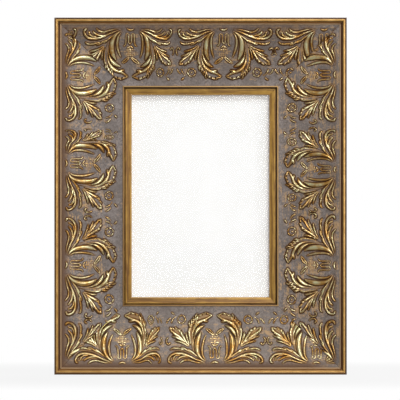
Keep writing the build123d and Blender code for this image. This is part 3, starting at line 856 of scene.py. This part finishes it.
# The bead leans in, most at its crest, and the fillet lies lower than the panel's edge, in mm
fillet = {
    "from": 5.2,
    "to": 6.6,
    "above": 25.0,
    "drop": 1.2,
}
bead = {
    "width": 3.8,
    "above": 27.0,
    "lean": 0.5,
}
for side, node in (("top", "rail"), ("bottom", "rail"), ("left", "stile"), ("right", "stile")):
    member = easedCopy(side + "_" + node, side + "Moulding", "frame", 0.2)
    for corner in member.data.vertices:
        x, y, z = corner.co
        inward, high = inwardAt(x, z), (outer["back"] - y) / mm
        if fillet["from"] < inward < fillet["to"] and high > fillet["above"]:
            corner.co.y += fillet["drop"] * mm
        if inward < bead["width"] and high > bead["above"]:
            part = inward / bead["width"]
            lean = 4 * bead["lean"] * part * (1 - part) * mm
            if node == "stile":
                corner.co.x -= math.copysign(lean, x)
            else:
                corner.co.z += math.copysign(lean, middle - z)
    clad(member, acrossFinish if node == "rail" else uprightFinish)

# Slip: its sight edge stands higher, and its parts begin and end at these edges, in mm in from the outer edge
slip = {
    "sightEdge": 71.0,
    "lift": 0.9,
    "faceFrom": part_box("glass_pane")[0][1] - mm,
    "lipShadowEnd": (67.0, 67.8),
    "hollowStart": (68.2, 69.0),
    "hollowEnd": (70.6, 71.6),
    "sightHighlight": (71.8, 72.8),
}


def slipFinish(name, grainScale, axis):
    finish = Finish(name)
    blend, step, noise = finish.blend, finish.step, finish.noise
    inward = inwardOf(finish)
    far = farSide(finish, axis)
    patch = noise(70, 4, 0.6)
    fine = noise(700, 3)
    streak = noise(1, 4, 0.6, grainScale)
    gold = blend(step(patch, 0.3, 0.7), (154, 113, 43), (189, 145, 63))
    gold = blend(step(streak, 0.49, 0.56) * 0.85, gold, (107, 69, 26))
    gold = blend(step(fine, 0.55, 0.7) * 0.3, gold, (115, 74, 31))
    hollow = finish.band(inward, slip["hollowStart"], slip["hollowEnd"])
    # painted shade: a darker band down the slip's middle, on the left and lower sides only
    gold = blend(hollow * (0.5 - 0.5 * far), gold, (112, 75, 32))
    # painted light: paler gold on the right and upper sides
    gold = blend(far * 0.12, gold, (248, 199, 116))
    # painted shadow of the lip on the slip's outer part, much stronger on the right and upper sides
    lipShadow = 1 - step(inward, *slip["lipShadowEnd"])
    colour = blend(lipShadow * (0.1 + 0.8 * far), gold, (74, 47, 21))
    # painted highlight along the rounded sight edge
    colour = blend(step(inward, *slip["sightHighlight"]) * 0.35, colour, (237, 192, 120))
    bumpy = finish.bump(fine, 0.12, 0.0002)
    return finish.surface(Base_Color=colour, Metallic=0.25, Roughness=0.46 + 0.1 * patch, Normal=bumpy)


slipAcross = slipFinish("slipGilding", (25, 600, 600), 2)
slipUpright = slipFinish("slipStileGilding", (600, 600, 25), 0)
for side in sides:
    member = easedCopy(side + "_slip", side + "SlipMoulding", "frame", 0.2)
    for corner in member.data.vertices:
        x, y, z = corner.co
        if inwardAt(x, z) > slip["sightEdge"] and y < slip["faceFrom"]:
            corner.co.y -= slip["lift"] * mm
    clad(member, slipAcross if side in ("top", "bottom") else slipUpright)
print("mouldings eased")


def plainFinish(name, first, second, scale, metallic, roughness, bumpiness):
    finish = Finish(name)
    blend, step, noise = finish.blend, finish.step, finish.noise
    patch = noise(scale, 4, 0.6)
    fine = noise(scale * 12, 2)
    colour = blend(step(patch, 0.3, 0.7), first, second)
    bumpy = finish.bump(fine, bumpiness, 0.0002)
    return finish.surface(Base_Color=colour, Metallic=metallic, Roughness=roughness + 0.12 * patch, Normal=bumpy)


# Pressed fibres, darker and lighter, with the print of the press's mesh
def hardboardFinish():
    finish = Finish("hardboard")
    blend, step, noise = finish.blend, finish.step, finish.noise
    cloud = noise(45, 2)
    fibre = noise(900, 4, 0.7)
    brown = blend(step(cloud, 0.3, 0.7), (126, 90, 60), (138, 100, 68))
    colour = blend(step(fibre, 0.5, 0.7) * 0.6, brown, (92, 62, 40))
    colour = blend(step(fibre, 0.5, 0.3) * 0.5, colour, (168, 130, 92))
    prints = [finish.node("ShaderNodeTexWave", {"bands_direction": way}, {"Vector": finish.place, "Scale": 190.0})
              for way in ("X", "Z")]
    bumpy = finish.bump(prints[0] * prints[1] + 0.5 * fibre, 0.5, 0.0003)
    return finish.surface(Base_Color=colour, Roughness=0.62 + 0.2 * fibre, Normal=bumpy)


hardboard = hardboardFinish()
zinc = plainFinish("zincPlate", (150, 152, 155), (178, 180, 182), 160, 0.9, 0.3, 0.08)
brassed = plainFinish("brassedSteel", (176, 142, 74), (200, 168, 98), 220, 0.9, 0.26, 0.05)
nickel = plainFinish("nickelWire", (168, 166, 162), (190, 188, 184), 220, 0.95, 0.22, 0.05)
nailSteel = plainFinish("nailSteel", (112, 112, 116), (140, 140, 142), 300, 0.9, 0.38, 0.1)
felt = plainFinish("bumperFelt", (62, 54, 48), (80, 70, 62), 500, 0, 0.85, 0.4)
cardFinish = plainFinish("insertCard", (252, 252, 250), (255, 255, 254), 60, 0, 0.8, 0.05)
dress("backing_board", hardboard)
dress("corner_nails", nailSteel)
clad(easedCopy("insert_card", "insertSheet", "frame", 0.02, 1, 0.1), cardFinish)
clad(easedCopy("wall_bumpers", "wallBumpers", "frame", 0.5, 3), felt)
for side in sides:
    clad(easedCopy("turn_button_" + side, side + "Button", side + "_turn_button", 0.3, 3), zinc)
for side in ("left", "right"):
    clad(easedCopy(side + "_hanger_strap", side + "Strap", "frame", 0.2, 2), zinc)

# Round-head screws with a straight slot, drawn point down and then turned to the back, in mm and degrees
screw = {
    "head": 3.2,
    "headHeight": 1.8,
    "headSides": 48,
    "crown": 1.15,
    "crownFrom": 1.6,
    "crownSteps": 6,
    "shank": 1.5,
    "shankSides": 24,
    "slotWidth": 0.8,
    "slotDepth": 0.9,
    "slotTurns": (20, 75, -40, 110),
}


def modelScrew():
    bpy.ops.mesh.primitive_cylinder_add(vertices=screw["headSides"], radius=screw["head"] * mm,
                                        depth=screw["headHeight"] * mm, location=(0, 0, screw["headHeight"] / 2 * mm))
    head = bpy.context.object
    bpy.ops.object.transform_apply(location=True)
    edit("DESELECT")
    shape = bmesh.from_edit_mesh(head.data)
    for edge in shape.edges:
        edge.select = all(end.co.z > screw["crownFrom"] * mm for end in edge.verts)
    bpy.ops.mesh.bevel(offset=screw["crown"] * mm, segments=screw["crownSteps"], affect="EDGES")
    bpy.ops.object.mode_set(mode="OBJECT")
    bpy.ops.mesh.primitive_cube_add(size=1, location=(0, 0, screw["headHeight"] * mm))
    blade = bpy.context.object
    blade.scale = (screw["head"] * 4 * mm, screw["slotWidth"] * mm, screw["slotDepth"] * 2 * mm)
    bpy.ops.object.transform_apply(location=True, scale=True)
    takeUp(head)
    slot = head.modifiers.new("driverSlot", "BOOLEAN")
    slot.operation = "DIFFERENCE"
    slot.object = blade
    bpy.ops.object.modifier_apply(modifier=slot.name)
    bpy.data.objects.remove(blade)
    return head


screwHead = modelScrew()


def placeScrews(node, name, places, seat, tip):
    bpy.ops.mesh.primitive_cylinder_add(vertices=screw["shankSides"], radius=screw["shank"] * mm, depth=seat - tip,
                                        location=(0, 0, (tip - seat) / 2))
    bpy.ops.object.transform_apply(location=True)
    pattern = copyOf(screwHead, name + "Pattern")
    pattern.select_set(True)
    bpy.context.view_layer.objects.active = pattern
    bpy.ops.object.join()
    made = []
    for turn, (x, z) in zip(screw["slotTurns"], places):
        fixed = copyOf(pattern, name)
        fixed.data.transform(mathutils.Matrix.Rotation(math.radians(turn), 4, "Z"))
        fixed.rotation_euler = (-math.pi / 2, 0, 0)
        fixed.location = (x, seat, z)
        takeUp(fixed)
        bpy.ops.object.transform_apply(location=True, rotation=True)
        made.append(fixed)
    bpy.data.objects.remove(pattern)
    for fixed in made:
        fixed.select_set(True)
    bpy.context.view_layer.objects.active = made[0]
    bpy.ops.object.join()
    made[0].name = name
    bpy.ops.object.shade_smooth_by_angle(angle=easing["smooth"])
    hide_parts(node)
    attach(made[0], "frame")
    clad(made[0], brassed)


for node, name in (("turn_button_screws", "buttonScrews"), ("hanger_screws", "hangerScrews")):
    low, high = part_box(node)
    right, top, bottom = high[0] - screw["head"] * mm, high[2] - screw["head"] * mm, low[2] + screw["head"] * mm
    places = ((0, top), (0, bottom), (-right, middle), (right, middle))
    if node == "hanger_screws":
        places = ((-right, (top + bottom) / 2), (right, (top + bottom) / 2))
    placeScrews(node, name, places, high[1] - screw["headHeight"] * mm, low[1])
bpy.data.objects.remove(screwHead)

# Hanging rings: one round wire, bent to a D round the eye of its strap, in mm
ring = {
    "wire": 1.1,
    "wireSides": 16,
    "corner": 2.0,
    "cornerSteps": 10,
    "bowSteps": 36,
    "weld": 0.01,
}


def bendRing():
    low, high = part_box("left_hanger_ring")
    x, y, half = (low[0] + high[0]) / 2, (low[1] + high[1]) / 2, (high[0] - low[0]) / 2 - ring["wire"] * mm
    bowZ = high[2] - (ring["wire"] + ring["corner"]) * mm
    barEnd = half - ring["corner"] * mm

    def bend(steps, angle, centreX):
        bpy.ops.mesh.spin(steps=steps, angle=angle, center=(centreX, y, bowZ), axis=(0, 1, 0))

    bpy.ops.mesh.primitive_circle_add(vertices=ring["wireSides"], radius=ring["wire"] * mm,
                                      location=(x + half, y, bowZ))
    wire = bpy.context.object
    wire.name = "leftRing"
    bpy.ops.object.transform_apply(location=True)
    edit("SELECT")
    bend(ring["bowSteps"], math.pi, x)
    bend(ring["cornerSteps"], math.pi / 2, x - barEnd)
    bpy.ops.mesh.extrude_region_move(TRANSFORM_OT_translate={"value": (2 * barEnd, 0, 0)})
    bend(ring["cornerSteps"], math.pi / 2, x + barEnd)
    bpy.ops.mesh.select_all(action="SELECT")
    bpy.ops.mesh.remove_doubles(threshold=ring["weld"] * mm)
    bpy.ops.mesh.normals_make_consistent(inside=False)
    bpy.ops.object.mode_set(mode="OBJECT")
    bpy.ops.object.shade_smooth()
    return wire


rings = {"left": bendRing()}
rings["right"] = copyOf(rings["left"], "rightRing")
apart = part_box("right_hanger_ring")[0][0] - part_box("left_hanger_ring")[0][0]
rings["right"].data.transform(mathutils.Matrix.Translation((apart, 0, 0)))
for side, wire in rings.items():
    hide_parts(side + "_hanger_ring")
    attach(wire, side + "_ring")
    clad(wire, nickel)
    print("ring bent", side, [round(v / mm, 2) for v in wire.dimensions])

white = (1, 1, 1, 1)
glass = Finish("pictureGlass")
dress("glass_pane", glass.surface(Base_Color=white, Roughness=0.02, Alpha=0.06, IOR=1.5))
print("finishes dressed")

# Studio: pale floor, white backdrop, soft light from the upper right; each lamp's place, power and size
studio = {
    "spanMm": 379.0,
    "distance": 10.0,
    "clipEnd": 50,
    "offCentre": (-0.0005, -0.0037),
    "floorSize": 12,
    "floorDrop": 0.0002,
    "floorGrey": 0.28,
    "floorNear": {"white": 0.88, "squares": (0.1, 0.8)},
    "floorBehind": (0, 0.05),
    "skyBehind": (0, 0.3),
    "skyLight": {"least": 0.026, "more": 0.36, "toward": (0.2, -0.4, 0.8), "ends": (0.1, 0.95)},
    "lamps": {
        "keyLamp": ((0.8, -2.2, 2.2), 37.0, 1.2),
        "frontLamp": ((0.3, -3.2, 0.6), 41.5, 1.2),
        "sideLamp": ((2.4, -1.5, 0.6), 12.0, 0.5),
        "rearLamp": ((0.7, 2.4, 1.9), 52.0, 1.6),
    },
}

bpy.ops.mesh.primitive_plane_add(size=studio["floorSize"], location=(0, 0, -studio["floorDrop"]))
floor = bpy.context.object
floor.name = "paleFloor"

# The floor glows white to the camera, a little less near the frame; mirrors see that only behind the frame
paint = Finish("paleFloorPaint")
paint.sockets(Base_Color=(studio["floorGrey"],) * 3 + (1,), Roughness=0.9)
floorX, floorY, _ = paint.axes(paint.place)
near = studio["floorNear"]
away = paint.step(floorX * floorX + floorY * floorY, *near["squares"])
seen = paint.seen(paint.step(floorY, *studio["floorBehind"])) * (near["white"] + (1 - near["white"]) * away)
glow = paint.node("ShaderNodeEmission", {}, {"Color": white, "Strength": 1.0})
both = paint.node("ShaderNodeMixShader", {}, {0: seen, 1: paint.shader, 2: glow})
clad(floor, paint.show(both))

# The world is white in the same way, and lights the frame from the upper front right
world = bpy.data.worlds.new("studioWorld")
scene.world = world
world.use_nodes = True
sky = NodeTree(world.node_tree)
ways = sky.axes(sky.node("ShaderNodeTexCoord").out("Generated"))
seen = sky.seen(sky.step(ways[1], *studio["skyBehind"]))
light = studio["skyLight"]
slope = sum(share * way for share, way in zip(light["toward"], ways))
level = light["least"] + light["more"] * sky.step(slope, *light["ends"])
strength = level * (1 - seen) + seen
background = sky.node("ShaderNodeBackground", {}, {"Color": white, "Strength": strength})
sky.node("ShaderNodeOutputWorld", {}, {"Surface": background})

for name, (place, power, size) in studio["lamps"].items():
    lamp = bpy.data.lights.new(name, "AREA")
    lamp.energy = power
    lamp.size = size
    stand = addObject(name, lamp)
    stand.location = place
    aim = np.array((0, 0, middle)) - np.array(place)
    tilt = math.pi / 2 + math.atan2(aim[2], math.hypot(aim[0], aim[1]))
    stand.rotation_euler = (tilt, 0, math.atan2(aim[1], aim[0]) - math.pi / 2)

camera = bpy.data.cameras.new("viewer")
camera.sensor_fit = "HORIZONTAL"
camera.lens = camera.sensor_width * studio["distance"] / (studio["spanMm"] * mm)
camera.clip_end = studio["clipEnd"]
viewer = addObject("viewer", camera)
shiftX, shiftZ = studio["offCentre"]
viewer.location = (shiftX, cadBox[0][1] - studio["distance"], middle + shiftZ)
viewer.rotation_euler = (math.pi / 2, 0, 0)
scene.camera = viewer
scene.view_settings.view_transform = "Standard"
print("studio set")
